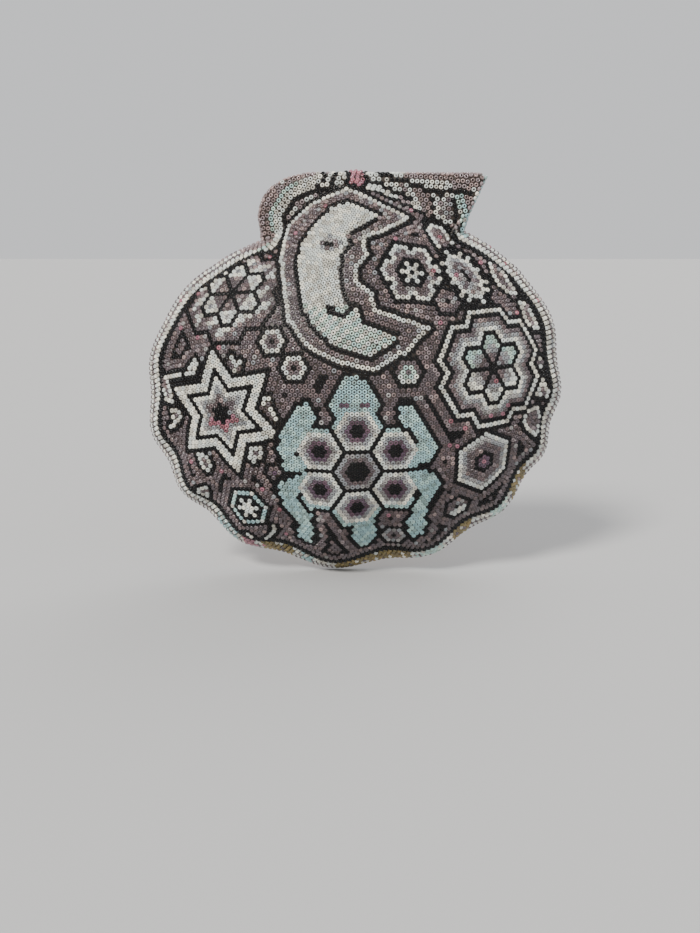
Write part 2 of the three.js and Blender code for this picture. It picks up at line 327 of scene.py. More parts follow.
UMBO_LINES = (((4.4, 5), (3.7, -7.5)), ((-2.9, 5), (-2.6, -6)), ((-6.5, 3), (-9.5, -8)), EAR_BAND[:3],
              ((3.5, -2.5), (24, -12)), ((-11, 3), (-15, -8)))


# ---------------------------------------------------------------- laying the beads
PITCH = 2.0  # from the middle of one bead to the next
ROW = PITCH * math.sqrt(3) / 2  # from one row to the next
WAX_UNDER = 1.0  # how far the wax lies under the bead tops
WAX_GRID = (180, 60)
LOWEST = 0.49 * PITCH  # how near the back plane the middle of a bead can sit
BORDER_ROWS, EAR_ROWS = 6, 8
FIRST_ROW = 1.05  # up from the back plane to the first row of the border

# How near another bead one may be laid, in pitches, and how firmly it stays there, from 0 to 1
SET_GAP, SET_HOLD = 0.86, 0.5
RIM_GAP, RIM_HOLD = 0.84, 0.9
GROW_GAP = 0.94
FILL_ROUNDS = ((0.82, 14), (0.79, 14), (0.79, 20))  # gap, then rounds of settling

IN_FRONT = -90  # clear of the whole dome
BESIDE_EDGE = -4  # level with the border

# Steps along the surface, in mm
STRIDE = 2
PATH_STEP = 0.5
ROW_STEP = 0.6
RIM_STEPS, RIM_POINTS = 720, 150

# Reaches, in pitches
TOUCHING = 1.3
CROWDED = 1.12
PUSH = 0.22
FILL_REACH, FILL_TURN = 0.97, 20  # the second in degrees
BESIDE = 0.93  # a row beside another keeps at least this share of its distance


def tree_of(points):
    tree = KDTree(len(points))
    for k, point in enumerate(points):
        tree.insert(point, k)
    tree.balance()
    return tree


class Bed:
    """The wax surface, and the beads pressed into it so far."""

    def __init__(self):
        bm = bmesh.new()
        lay_skin(bm, WAX_UNDER, *WAX_GRID)
        bmesh.ops.triangulate(bm, faces=bm.faces)
        self.tree = BVHTree.FromBMesh(bm)
        bm.free()
        self.spots, self.normals, self.marks, self.hold = [], [], [], []
        self.cells = {}

    def on(self, point):
        """The nearest point of the surface, and its normal."""
        place, normal, _, _ = self.tree.find_nearest(point)
        return place, normal

    def drop(self, x, z):
        """The point of the surface straight behind (x, z), or the nearest one beyond the edge."""
        place, normal, _, _ = self.tree.ray_cast(Vector((x, IN_FRONT, z)), Vector((0, 1, 0)))
        return (place, normal) if place else self.on(Vector((x, BESIDE_EDGE, z)))

    def cell(self, point):
        return tuple(int(math.floor(c / PITCH)) for c in point)

    def near(self, point, gap):
        """The beads within a gap of a point."""
        i, j, k = self.cell(point)
        return [n for a in (i - 1, i, i + 1) for b in (j - 1, j, j + 1) for c in (k - 1, k, k + 1)
                for n in self.cells.get((a, b, c), ()) if (self.spots[n] - point).length < gap]

    def add(self, point, gap, mark=("field",), hold=0.0):
        """Lays a bead if there is room for it. Says whether it was laid."""
        place, normal = self.on(point)
        if place.y > -LOWEST or self.near(place, gap * PITCH):
            return False
        self.cells.setdefault(self.cell(place), []).append(len(self.spots))
        self.spots.append(place)
        self.normals.append(normal)
        self.marks.append(mark)
        self.hold.append(hold)
        return True

    def walk(self, start, normal, across, up):
        """The place reached from start by going across and up along the surface."""
        length = math.hypot(across, up)
        if length < 1e-6:
            return start
        level = (Vector((1, 0, 0)) - normal * normal.x).normalized()
        way = level * across + normal.cross(level) * up
        place, steps = start, max(1, math.ceil(length / STRIDE))
        for _ in range(steps):
            way = (way - normal * way.dot(normal)).normalized()
            place, normal = self.on(place + way * (length / steps))
        return place

    # -- strings: single rows of touching beads ------------------------------------------------
    def path(self, outline, closed=True):
        """Surface points at small steps along an outline, clockwise if it is closed."""
        corners = list(outline)
        if closed:
            pairs = zip(corners, corners[1:] + corners[:1])
            if sum(ax * bz - bx * az for (ax, az), (bx, bz) in pairs) >= 0:
                corners.reverse()
            corners.append(corners[0])
        points = []
        for (ax, az), (bx, bz) in zip(corners, corners[1:]):
            steps = max(1, math.ceil(math.hypot(bx - ax, bz - az) / PATH_STEP))
            points += [self.drop(ax + (bx - ax) * k / steps, az + (bz - az) * k / steps)[0]
                       for k in range(steps)]
        return points + [self.drop(*corners[-1])[0]]

    def string(self, points, mark, gap=SET_GAP, hold=SET_HOLD, keep=None):
        """A row of beads evenly spaced along surface points."""
        if len(points) < 2:
            return
        length = sum((b - a).length for a, b in zip(points, points[1:]))
        count = max(1, round(length / PITCH))
        for place in even_steps(points, count):
            if keep is None or keep(place):
                self.add(place, gap, mark, hold)

    def offset(self, points, distance, closed=True):
        """A row beside another one, to its left as seen from outside where distance is above zero."""
        out = []
        count = len(points)
        for k, point in enumerate(points):
            if closed:
                ahead, behind = points[(k + 2) % (count - 1)], points[(k - 2) % (count - 1)]
            else:
                ahead, behind = points[min(k + 2, count - 1)], points[max(k - 2, 0)]
            _, normal = self.on(point)
            side = normal.cross(ahead - behind)
            if side.length > 1e-6:
                out.append(self.on(point + side.normalized() * distance)[0])
        tree = tree_of(points)
        out = [p for p in out if tree.find(p)[2] > abs(distance) * BESIDE]
        if len(out) < 4:
            return []
        if closed:
            out.append(out[0])
        length = sum((b - a).length for a, b in zip(out, out[1:]))
        return [self.on(p)[0] for p in even_steps(out, max(4, round(length / ROW_STEP)))]

    # -- patches: beads on a lattice -------------------------------------------------------------
    def patch(self, figure, centre, turn, rings):
        """A hexagonal patch about a centre. figure says what each bead of it is, or leaves it out."""
        start, normal = self.drop(*centre)
        order = sorted(((q, r) for q in range(-rings, rings + 1) for r in range(-rings, rings + 1)
                        if abs(q + r) <= rings), key=hex_ring)
        for q, r in order:
            x, z = lattice(q, r, turn)
            place = self.walk(start, normal, x * PITCH, z * PITCH)
            what = figure(place.x, place.z, q, r)
            if what:
                self.add(place, SET_GAP, ("set", *what), SET_HOLD)


def hex_ring(cell):
    """The ring about the centre that a lattice cell (q, r) lies on."""
    q, r = cell
    return max(abs(q), abs(r), abs(q + r))


def hex_spoke(cell):
    """How far a lattice cell lies from the nearest of the three axes."""
    q, r = cell
    return min(abs(q), abs(r), abs(q + r))


def lattice(q, r, turn):
    """The place of a lattice cell, in pitches, with its rows turned from level."""
    x, z = q + r / 2, r * math.sqrt(3) / 2
    c, s = math.cos(math.radians(turn)), math.sin(math.radians(turn))
    return x * c - z * s, x * s + z * c


def rim_path(bed, up):
    """A closed path round the whole shell, up mm above the back plane along the surface."""
    points = []
    for j in range(RIM_STEPS):
        angle = 360 * j / RIM_STEPS
        line = profile(angle, WAX_UNDER, RIM_POINTS)
        k, gone = len(line) - 1, 0.0
        while gone < up:
            gone += (line[k] - line[k - 1]).length
            k -= 1
        radius, front = line[k]
        x, z = polar(angle, radius)
        points.append(bed.on(Vector((x, -front, z)))[0])
    return points + [points[0]]


def grow(bed):
    """Fills the surface by adding a third bead against every touching pair."""
    queue = deque(range(len(bed.spots)))
    while queue:
        k = queue.popleft()
        for j in bed.near(bed.spots[k], TOUCHING * PITCH):
            if j == k:
                continue
            along = bed.spots[j] - bed.spots[k]
            middle = (bed.spots[j] + bed.spots[k]) / 2
            side = along.cross(bed.normals[k]).normalized()
            rise = math.sqrt(PITCH ** 2 - along.length_squared / 4)
            for step in (rise, -rise):
                if bed.add(middle + side * step, GROW_GAP):
                    queue.append(len(bed.spots) - 1)


def fill_gaps(bed, gap):
    """Presses a bead into every hole left that is nearly large enough."""
    for k in range(len(bed.spots)):
        across = bed.normals[k].orthogonal().normalized()
        for turn in range(0, 360, FILL_TURN):
            way = across.copy()
            way.rotate(Matrix.Rotation(math.radians(turn), 3, bed.normals[k]))
            bed.add(bed.spots[k] + way * PITCH * FILL_REACH, gap)


def settle(bed, rounds):
    """Lets crowded beads push one another apart along the surface."""
    crowded = CROWDED * PITCH
    for _ in range(rounds):
        tree = tree_of(bed.spots)
        moved = []
        for k, place in enumerate(bed.spots):
            push = Vector()
            for other, j, gap in tree.find_range(place, crowded):
                if j != k and gap > 0:
                    push += (place - other) / gap * (crowded - gap)
            moved.append(place + push * PUSH * (1 - bed.hold[k]))
        for k, place in enumerate(moved):
            place, normal = bed.on(place)
            if place.y < -LOWEST:
                bed.spots[k], bed.normals[k] = place, normal


STEPS = ((1, 0), (0, 1), (-1, 1), (-1, 0), (0, -1), (1, -1))
CARAPACE = (1, -116.6)
CELL_STEPS = ((0, 0), (-5, 10), (5, 5), (10, -5), (5, -10), (-5, -5), (-10, 5))
HEAD_EYES = ((-4, -90.5), (4.4, -89.5))
EYE_STRETCH, EYE_RADIUS = 1.9, 1.15
LINE_HALF = 0.95  # half the width of a line one bead wide
SLIT_HALF = 1.05
LIMB_SPILL = 0.3  # a bead whose middle lies this little outside a limb still belongs to it
LIMB_RIM = 2.2
LIMBS = (
    (TURTLE_HEAD, "turtle_head_beads"), (ARM_LEFT, "turtle_arm_left_beads"),
    (ARM_RIGHT, "turtle_arm_right_beads"), (LEG_LEFT, "turtle_leg_left_beads"),
    (LEG_RIGHT, "turtle_leg_right_beads"), (TAIL, "turtle_tail_beads"),
)


def turtle(x, z, q, r):
    """Hexagonal carapace cells that share their black edges, and the limbs round them."""
    rings = [hex_ring((q - a, r - b)) for a, b in CELL_STEPS]
    ring, cell = min(rings), rings.index(min(rings))
    slit = any(off_line(x, z, line) < SLIT_HALF for line in SLITS)
    if ring < 5 or (ring == 5 and not slit):
        if ring == 5:
            colour = "black" if sum(k <= 5 for k in rings) > 1 else "turquoise"
        elif cell == 0:
            colour = ("black", "black", "black", "mauve", "grey")[ring]
        else:
            colour = ("black", "black", "plum", "grey", "white")[ring]
        return f"turtle_cell_{cell + 1}_beads", colour
    for outline, piece in LIMBS:
        if inside_distance(x, z, outline) > -LIMB_SPILL:
            eye = any(math.hypot((x - a) / EYE_STRETCH, z - b) < EYE_RADIUS for a, b in HEAD_EYES)
            return piece, "black" if slit else "plum" if eye else "turquoise"
    near = max(inside_distance(x, z, outline) for outline, _ in LIMBS)
    return (None, "black") if near > -LIMB_RIM or ring == 6 else None


def rows_out(cells, most):
    """How many rows each lattice cell lies outside a set of cells."""
    rows = {cell: 0 for cell in cells}
    queue = deque(rows)
    while queue:
        q, r = queue.popleft()
        if rows[(q, r)] < most:
            for a, b in STEPS:
                if (q + a, r + b) not in rows:
                    rows[(q + a, r + b)] = rows[(q, r)] + 1
                    queue.append((q + a, r + b))
    return rows


def petal_cells(length):
    """Six petals between the lattice axes, rounded at their ends."""
    out = {}
    for q in range(-length, length + 1):
        for r in range(-length, length + 1):
            ring, spoke = hex_ring((q, r)), hex_spoke((q, r))
            if ring <= length and spoke > max(0, ring - length + 2):
                out[(q, r)] = (ring, spoke)
    return out


PETALS = petal_cells(7)
PETAL_ROWS = rows_out(PETALS, 7)


def ring_flower(x, z, q, r):
    """Six petals inside rings that follow them."""
    out = PETAL_ROWS.get((q, r)) if (q, r) != (0, 0) else 1
    if out is None:
        return None
    if out == 0:
        ring, spoke = PETALS[(q, r)]
        colour = "mauve" if ring < 4 else "grey" if ring == 4 or (ring == 5 and spoke > 1) else "white"
        return "ring_flower_beads", "mint" if colour == "white" and r > 0 else colour
    colour = ("", "black", "white", "grey", "mauve", "black", "white", "black")[out]
    return "ring_flower_beads" if out < 7 else None, colour


def petal_flower(x, z, q, r):
    """Six petals in a lobed ground."""
    out = PETAL_ROWS.get((q, r)) if (q, r) != (0, 0) else 1
    if out is None or out > 5:
        return None
    if out == 0:
        ring, spoke = PETALS[(q, r)]
        colour = "mauve" if ring < 5 else "grey" if spoke > 2 and ring < 7 else "white"
        return "petal_flower_beads", colour
    lobe = "white" if (q - r) % 12 in (0, 1, 2, 6, 7, 8) else "mauve"
    colour = ("", "black", lobe, lobe, "mauve", "black")[out]
    return "petal_flower_beads" if out < 5 else None, colour


def sun_flower(x, z, q, r):
    """A scalloped ring round a small six-rayed middle."""
    ring, spoke = hex_ring((q, r)), hex_spoke((q, r))
    if ring > 7:
        return None
    if ring == 2 and spoke == 0 or ring == 5 and spoke == 2 or ring == 6 and spoke < 3:
        return "sun_flower_beads", "white"
    colour = ("black", "white", "black", "black", "mauve", "mauve", "black", "black")[ring]
    return "sun_flower_beads" if ring < 6 else None, colour


def zigzag_flower(x, z, q, r):
    """An oval flower, spiked all round."""
    across, up = lattice(q, r, 0)
    out = math.hypot(across / 5.3, up / 3.1)
    edge = math.hypot(across / 6.3, up / 4.1)
    if out > 1:
        if edge > 1.2:
            return None
        spike = edge <= 1 and (q - r) % 3 == 0
        return "zigzag_flower_beads" if spike else None, "white" if spike else "black"
    inner = math.hypot(across / 4.2, up / 2.2)
    if inner > 1:
        return "zigzag_flower_beads", "white"
    fleck = "grey" if (q - r) % 3 == 1 else "mauve"
    return "zigzag_flower_beads", "black" if inner < 0.3 else fleck


def ear_bud(x, z, q, r):
    """An oval bud at the root of the right ear."""
    across, up = lattice(q, r, 0)
    out = math.hypot(across / 3.2, up / 2.3)
    if out > 1:
        return (None, "black") if out < 1.5 else None
    return "ear_bud_beads", "rose" if out < 0.2 else "mauve" if out < 0.66 else "white"


def ear_cluster(x, z, q, r):
    """A small round patch in the middle of the right ear."""
    out = math.hypot(*lattice(q, r, 0))
    if out > 2.7:
        return ("ear_right_beads", "black") if out < 3.5 else None
    return "ear_right_beads", "white" if out > 1.9 else "grey" if (q + 2 * r) % 3 else "mauve"


def star(x, z, q, r):
    """Nested six-pointed stars, their edges along the rows."""
    s = -q - r
    level = min(max(q, r, s), -min(q, r, s))
    if level > 8 or max(abs(q), abs(r), abs(s)) > 16:
        return None
    if level == 8:
        return None, "black"
    inner = "rose" if r < 0 and level == 2 else "grey" if level == 3 else "mauve"
    return "star_beads", ("black", "black", inner, inner, "white", "black", "white", "white")[level]


TWO_COLOURED = {  # rings of two colours: which lattice cells have the first, and both colours
    "arc": (lambda q, r: r < 0, "white", "mauve"),
    "ray": (lambda q, r: hex_spoke((q, r)) == 0, "white", "black"),
    "scallop": (lambda q, r: hex_spoke((q, r)) == 0, "white", "turquoise"),
}


def disc(piece, colours):
    """A round flower: one colour for each ring of the lattice, and a black ring round it."""
    def pick(x, z, q, r):
        ring = hex_ring((q, r))
        if ring >= len(colours):
            return (None, "black") if ring == len(colours) else None
        colour = colours[ring]
        if colour in TWO_COLOURED:
            first, one, other = TWO_COLOURED[colour]
            colour = one if first(q, r) else other
        return piece, colour
    return pick


def moon_face(x, z, q, r):
    """A crescent face in profile, its lower half flecked with mint: partly mint beads, partly painted cool
    light from below.
    """
    if inside_distance(x, z, MOON) < MOON_INSET:
        return None
    if off_line(x, z, MOON_MOUTH) < LINE_HALF:
        return "moon_face_beads", "black"
    eye = inside_distance(x, z, MOON_EYE)
    if eye > -0.5:
        return "moon_face_beads", "black" if eye > 1.2 else "mauve" if eye > 0.3 else "grey"
    return "moon_face_beads", "mint" if z < MINT_AND_COOL_LIGHT_BELOW and (x + z) % 3 < 1.6 else "white"


MOON_INSET = 0.35
# Below this z the moon's white is flecked with mint, partly real mint beads and partly painted cool light.
MINT_AND_COOL_LIGHT_BELOW = -52
MOON_PATCH = ((-13, -38), -21, 24)  # centre, turn of the rows, rings laid
EAR_PATCH = ((37.4, -14.6), 0, 4)
FIGURES = (  # centre, turn of the rows, rings laid, what each bead is
    (CARAPACE, 0, 23, turtle),
    ((54.2, -76.6), 5, 15, ring_flower),
    ((22, -39.5), 3, 8, sun_flower),
    (STAR_CENTRE, 10, 18, star),
    ((-48.5, -48), -11, 14, petal_flower),
    ((43.5, -41), -50, 9, zigzag_flower),
    ((33.6, -26), -55, 5, ear_bud),
    ((51.7, -114.5), 30, 7, disc("rosette_beads", ("rose", "plum", "black", "mauve", "mauve", "grey",
                                                   "white"))),
    ((36, -50.5), 0, 3, disc("sun_bud_beads", ("black", "mauve", "mauve"))),
    ((20.5, -77), 0, 3, disc("half_flower_beads", ("mauve", "mint", "arc"))),
    ((-32, -65.5), 0, 3, disc("twin_flower_upper_beads", ("black", "mauve", "white"))),
    ((-23.5, -75.5), 0, 3, disc("twin_flower_lower_beads", ("black", "mauve", "white"))),
    ((-43.5, -134.5), 15, 5, disc("low_flower_beads", ("white", "white", "ray", "black", "scallop"))),
    ((15.8, -146.5), 0, 3, disc("field_beads", ("black", "mauve", "grey"))),
    ((41.5, -134.5), 20, 3, disc("field_beads", ("black", "arc", "arc"))),
    ((-32, -118), 10, 3, disc("field_beads", ("plum", "mauve"))),
)
MOON_STRINGS = (  # outline, rows outside it, piece, colour
    (MOON, 0.5, "moon_halo_beads", "black"), (MOON, 1.5, "moon_halo_beads", "mauve"),
    (HALO, -0.5, "moon_halo_beads", "white"), (HALO, 0.5, None, "black"),
    (MOON, 2.5, "moon_halo_beads", "mauve"),
)
FLAME_ROW = -0.5  # rows outside a flame's outline at which its string lies


@lru_cache(maxsize=None)
def lay_beads():
    """Lays every bead of the shell once, in the order a bead worker sets out the motifs."""
    bed = Bed()
    row = rim_path(bed, FIRST_ROW)
    for k in range(EAR_ROWS):
        if k == BORDER_ROWS - 1:
            bed.patch(ear_cluster, *EAR_PATCH)
        bed.string(row, ("rim", k), RIM_GAP, RIM_HOLD, None if k < BORDER_ROWS else in_ear)
        row = bed.offset(row, ROW)
    for outline, out, piece, colour in MOON_STRINGS:
        bed.string(bed.offset(bed.path(outline), out * ROW), ("set", piece, colour))
    bed.patch(moon_face, *MOON_PATCH)
    for centre, turn, rings, figure in FIGURES:
        bed.patch(figure, centre, turn, rings)
    for outline in FLAMES:
        bed.string(bed.offset(bed.path(outline), FLAME_ROW * ROW), ("set", "field_beads", "white"))
    bed.string(bed.path(CRESCENT, closed=False), ("set", "field_beads", "white"))
    grow(bed)
    for gap, rounds in FILL_ROUNDS:
        fill_gaps(bed, gap)
        settle(bed, rounds)
    paint(bed)
    return bed


# ---------------------------------------------------------------- which bead has which colour
def in_ear(place):
    return any(inside_distance(place.x, place.z, field) > 0 for field in EAR_FIELDS.values())


RIM_COLOURS = ("mauve", "white", "mauve", "white", "white", "black")
RIM_PATCHES = (  # from x, to x along the lower rim
    (-57, -49, "turquoise"), (-47, -41, "rose"), (-39, -26, "gold"), (-23, -18, "turquoise"),
    (-8, 24, "gold"), (25, 37, "mint"), (41, 48, "gold"), (57, 63, "mint"), (64, 71, "gold"),
)
LOWER_RIM = -100  # the lower rim is below this z
PATCH_SHARE = 0.8  # of the beads in a patch have its colour
# The lit mauve colour here is mauve painted lighter, as painted light on the ear tops.
EAR_LEFT_ROWS = ("lit_mauve", "lit_mauve", "lit_mauve", "lit_mauve", "mint", "white", "white", "black")
EAR_SIDE = ("lit_mauve", "turquoise", "turquoise", "mint", "black", "black", "black", "black")
EAR_SIDE_WIDTH = 9
UMBO_ROSE = (0.7, 2.7)  # middle and half width of the rose stripe over the umbo


def rim_colour(x, z, row, rng):
    """The rows of the border, with patches of colour along the lower rim."""
    last = len(RIM_COLOURS) - 1
    if z < LOWER_RIM and row < last:
        for start, end, colour in RIM_PATCHES:
            if start < x < end and rng.random() < PATCH_SHARE:
                return colour
    return RIM_COLOURS[min(row, last)]


def on_umbo_line(x, z):
    return min(off_line(x, z, line) for line in UMBO_LINES) < LINE_HALF


def ear_colour(x, z, row):
    """The rows round an ear, or what fills its middle where row is None."""
    if on_umbo_line(x, z):
        return "black"
    if x < 0:
        if row is not None:
            return "white" if x > -20 and 3 < row < 7 else EAR_LEFT_ROWS[row]
    # Where lit mauve is given, the ear is mauve painted lighter, as painted light from above.
    elif inside_distance(x, z, EAR_BAND) > 0:
        return "white" if x < 20 or (row or 0) > 3 else "lit_mauve"
    elif row is not None and off_line(x, z, EAR_RIGHT[1:5]) < EAR_SIDE_WIDTH:
        return EAR_SIDE[row]
    return "white" if math.sin(x * 0.75 + z * 0.3) > 0.35 or 0 < x < 18 else "lit_mauve"


def bead_of(bed, k, rng):
    """The piece and the colour of one bead, or no piece for one in the open field."""
    x, z, (kind, *mark) = bed.spots[k].x, bed.spots[k].z, bed.marks[k]
    if kind == "set":
        return mark
    for name, field in EAR_FIELDS.items():
        if inside_distance(x, z, field) > 0:
            return name, ear_colour(x, z, mark[0] if kind == "rim" else None)
    if inside_distance(x, z, UMBO_FIELD) > 0:
        stripe = abs(x - UMBO_ROSE[0]) < UMBO_ROSE[1]
        return "umbo_beads", "rose" if stripe else "black" if on_umbo_line(x, z) else "white"
    if kind == "rim":
        return "border_beads", rim_colour(x, z, mark[0], rng)
    for outline, piece, colour in FILLED:
        if inside_distance(x, z, outline) > FILLED_INSET:
            return piece, colour
    return None, None


FILLED = (
    (MOON, "moon_face_beads", "white"), (HALO, "moon_halo_beads", "mauve"),
) + tuple((outline, "field_beads", "mauve") for outline in FLAMES)
FILLED_INSET = 0.2
FIELD_BANDS = ("black", "black", "mauve", "mauve", "black", "mauve", "mauve", "black")
BAND_REACH = 1.35  # pitches from a bead to those of the next band
# The lit mauve strays are painted light: mauve painted lighter. Every kind of stray is twice as common
# above FEW_STRAYS_BELOW.
STRAYS = (("rose", 0.03), ("grey", 0.1), ("lit_mauve", 0.32))  # share of mauve beads up to each colour
FEW_STRAYS_BELOW = -75  # half as many below this z
UPPER_FIELD = -78  # the open field's upper piece is above this z
SNUG = 0.99
BEAD_WIDTHS = (1.6, 2.0)


def paint(bed):
    """Gives each bead its piece and colour. Open field is banded by rows from the nearest motif."""
    rng = random.Random(11)
    bed.pieces, bed.colours = [], []
    for k in range(len(bed.spots)):
        piece, colour = bead_of(bed, k, rng)
        bed.pieces.append(piece)
        bed.colours.append(colour)
    tree = tree_of(bed.spots)
    layer = {k: 0 for k, piece in enumerate(bed.pieces) if piece}
    queue = deque(layer)
    while queue:
        k = queue.popleft()
        for _, j, _ in tree.find_range(bed.spots[k], BAND_REACH * PITCH):
            if j not in layer:
                layer[j] = layer[k] + 1
                queue.append(j)
    for k, piece in enumerate(bed.pieces):
        if piece is None:
            bed.colours[k] = bed.colours[k] or FIELD_BANDS[min(layer.get(k, 1), len(FIELD_BANDS) - 1)]
            piece = "field_beads"
        x, z = bed.spots[k].x, bed.spots[k].z
        if bed.colours[k] == "mauve":
            draw = rng.random() * (1 if z > FEW_STRAYS_BELOW else 2)
            bed.colours[k] = next((colour for colour, share in STRAYS if draw < share), "mauve")
        if piece == "field_beads" and z > UPPER_FIELD:
            piece = "field_upper_beads"
        elif piece == "field_beads" and x > 0:
            piece = "field_right_beads"
        bed.pieces[k] = piece
    bed.widths = []
    for k, place in enumerate(bed.spots):
        gap = min(d for _, j, d in tree.find_n(place, 2) if j != k)
        bed.widths.append(max(BEAD_WIDTHS[0], min(SNUG * gap, BEAD_WIDTHS[1])))


# ---------------------------------------------------------------- sizes and colours a user may change
def colour_property(name, description, default):
    return FloatVectorProperty(name=name, description=description, default=default, subtype="COLOR",
                               size=3, min=0, max=1)


class BeadedShellBeads(bpy.types.PropertyGroup):
    height: FloatProperty(name="Bead height", description="Height of a seed bead along its hole",
                          default=0.0013, unit="LENGTH", subtype="DISTANCE", precision=5)
    hole: FloatProperty(name="Hole", description="Hole of a bead as a share of its width",
                        default=0.45, min=0.1, max=0.6, subtype="FACTOR")
    lean: FloatProperty(name="Lean", description="How far beads lean out of upright",
                        default=math.radians(5), unit="ROTATION", subtype="ANGLE")
    tones: IntProperty(name="Tones", description="Number of tones each bead colour comes in",
                       default=4, min=1, max=8)
    spread: FloatProperty(name="Tone spread", description="How far the tones of one colour lie apart",
                          default=0.26, min=0, max=1, subtype="FACTOR")


class BeadedShellColours(bpy.types.PropertyGroup):
    white: colour_property("White", "Opaque white glass", (0.66, 0.67, 0.62))
    mauve: colour_property("Mauve", "Clear mauve glass", (0.11, 0.081, 0.087))
    # Lit mauve is the mauve glass painted lighter, as painted light where the lamp falls on the ears and
    # the upper field.
    lit_mauve: colour_property("Blush", "Pale pink-grey glass", (0.25, 0.19, 0.19))
    rose: colour_property("Rose", "Pink glass", (0.34, 0.13, 0.17))
    turquoise: colour_property("Turquoise", "Pale turquoise glass", (0.33, 0.49, 0.495))
    mint: colour_property("Mint", "Pale green glass", (0.42, 0.57, 0.52))
    grey: colour_property("Grey", "Grey pearl glass", (0.26, 0.262, 0.268))
    gold: colour_property("Gold", "Olive gold glass", (0.20, 0.15, 0.045))
    plum: colour_property("Plum", "Dark purple-brown glass", (0.10, 0.055, 0.085))
    black: colour_property("Black", "Black glass", (0.006, 0.006, 0.007))


class BeadedShellBase(bpy.types.PropertyGroup):
    shell: colour_property("Shell", "Inside of the shell", (0.78, 0.68, 0.58))
    shell_dark: colour_property("Shell stain", "Rust-brown growth bands", (0.40, 0.17, 0.09))
    # The wax colour is painted near black, as painted shade between the beads. Bare wax is the beeswax's
    # own amber.
    wax: colour_property("Wax", "Beeswax between the beads", (0.028, 0.016, 0.008))
    wax_bare: colour_property("Bare wax", "Beeswax along the back edge", (0.13, 0.065, 0.02))


# ---------------------------------------------------------------- materials
class Finish:
    """A material being made, with the few kinds of node that these finishes share."""

    def __init__(self, name, **sockets):
        self.material = bpy.data.materials.new(name)
        self.material.use_nodes = True
        self.nodes, self.links = self.material.node_tree.nodes, self.material.node_tree.links
        self.shader = self.nodes["Principled BSDF"]
        for socket, value in sockets.items():
            self.shader.inputs[SOCKETS[socket]].default_value = value

    def node(self, kind, **inputs):
        """A new node with some of its numbers set, where _ stands for a space in a name."""
        node = self.nodes.new(kind)
        for name, value in inputs.items():
            node.inputs[name.replace("_", " ")].default_value = value
        return node

    def place(self):
        """Where on the object a point lies, in metres."""
        return self.node("ShaderNodeTexCoord").outputs["Object"]

    def noise(self, scale, detail):
        """Noise that stays with the object, from 0 to 1."""
        node = self.node("ShaderNodeTexNoise", Scale=scale, Detail=detail)
        self.links.new(self.place(), node.inputs["Vector"])
        return node.outputs["Fac"]

    def attribute(self, name):
        """A value kept on the mesh."""
        node = self.node("ShaderNodeAttribute")
        node.attribute_name = name
        return node.outputs["Fac"]

    def math(self, operation, *values):
        node = self.node("ShaderNodeMath")
        node.operation = operation
        for socket, value in zip(node.inputs, values):
            if isinstance(value, float):
                socket.default_value = value
            else:
                self.links.new(value, socket)
        return node.outputs["Value"]

    def ramp(self, value, *stops):
        """A colour for each value, from (position, colour) stops."""
        node = self.node("ShaderNodeValToRGB")
        elements = node.color_ramp.elements
        for element, (position, colour) in zip(elements, (stops[0], stops[-1])):
            element.position, element.color = position, (*colour, 1)
        for position, colour in stops[1:-1]:
            elements.new(position).color = (*colour, 1)
        self.links.new(value, node.inputs["Fac"])
        return node.outputs["Color"]

    def mix(self, blend, share, first, second):
        """Two colours mixed. The share and the second colour are numbers or outputs."""
        node = self.node("ShaderNodeMix")
        node.data_type, node.blend_type = "RGBA", blend
        for socket, value in ((node.inputs["Factor"], share), (node.inputs[MIX_A], first),
                              (node.inputs[MIX_B], second)):
            if isinstance(value, bpy.types.NodeSocket):
                self.links.new(value, socket)
            else:
                socket.default_value = value
        return node.outputs[MIX_RESULT]

    def colour(self, value):
        self.links.new(value, self.shader.inputs["Base Color"])

    def bump(self, value, strength):
        node = self.node("ShaderNodeBump", Strength=strength, Distance=BUMP_DISTANCE)
        self.links.new(value, node.inputs["Height"])
        self.links.new(node.outputs["Normal"], self.shader.inputs["Normal"])


SOCKETS = {"roughness": "Roughness", "coat": "Coat Weight", "coat_roughness": "Coat Roughness",
           "specular": "Specular IOR Level"}
MIX_A, MIX_B, MIX_RESULT = 6, 7, 2  # the colour sockets of a Mix node
BUMP_DISTANCE = 0.0003

GLASS = {  # roughness, coat, specular level
    "white": (0.28, 0.5, 0.5), "mauve": (0.16, 0.8, 0.6), "lit_mauve": (0.16, 0.8, 0.6),
    "rose": (0.14, 0.8, 0.6), "turquoise": (0.22, 0.6, 0.5), "mint": (0.22, 0.6, 0.5),
    "grey": (0.18, 0.9, 0.7), "gold": (0.2, 0.7, 0.6), "plum": (0.14, 0.8, 0.6),
    "black": (0.16, 0.0, 0.35),
}
STREAK_SCALE, STREAK_DETAIL = 650, 2
STREAK_STOPS = ((0.3, 0.84), (0.7, 1.16))  # position, how much lighter or darker
TONE_WARMTH = 0.25


@lru_cache(maxsize=None)
def glass(colour, tone):
    """Seed-bead glass in one tone of one colour, with streaks in it."""
    base = getattr(bpy.context.scene.beaded_shell_colours, colour)
    beads = bpy.context.scene.beaded_shell_beads
    shift = (tone - (beads.tones - 1) / 2) / max(1, beads.tones - 1) * 2 * beads.spread
    warm = 1 + TONE_WARMTH * shift * (1 if tone % 2 else -1)
    middle = (base[0] * (1 + shift) * warm, base[1] * (1 + shift), base[2] * (1 + shift) / warm)
    roughness, coat, specular = GLASS[colour]
    finish = Finish(f"{colour}_glass_{tone + 1}", roughness=roughness, coat=coat,
                    coat_roughness=0.06, specular=specular)
    finish.colour(finish.ramp(finish.noise(STREAK_SCALE, STREAK_DETAIL), *(
        (position, [min(1, c * lift) for c in middle]) for position, lift in STREAK_STOPS)))
    return finish.material


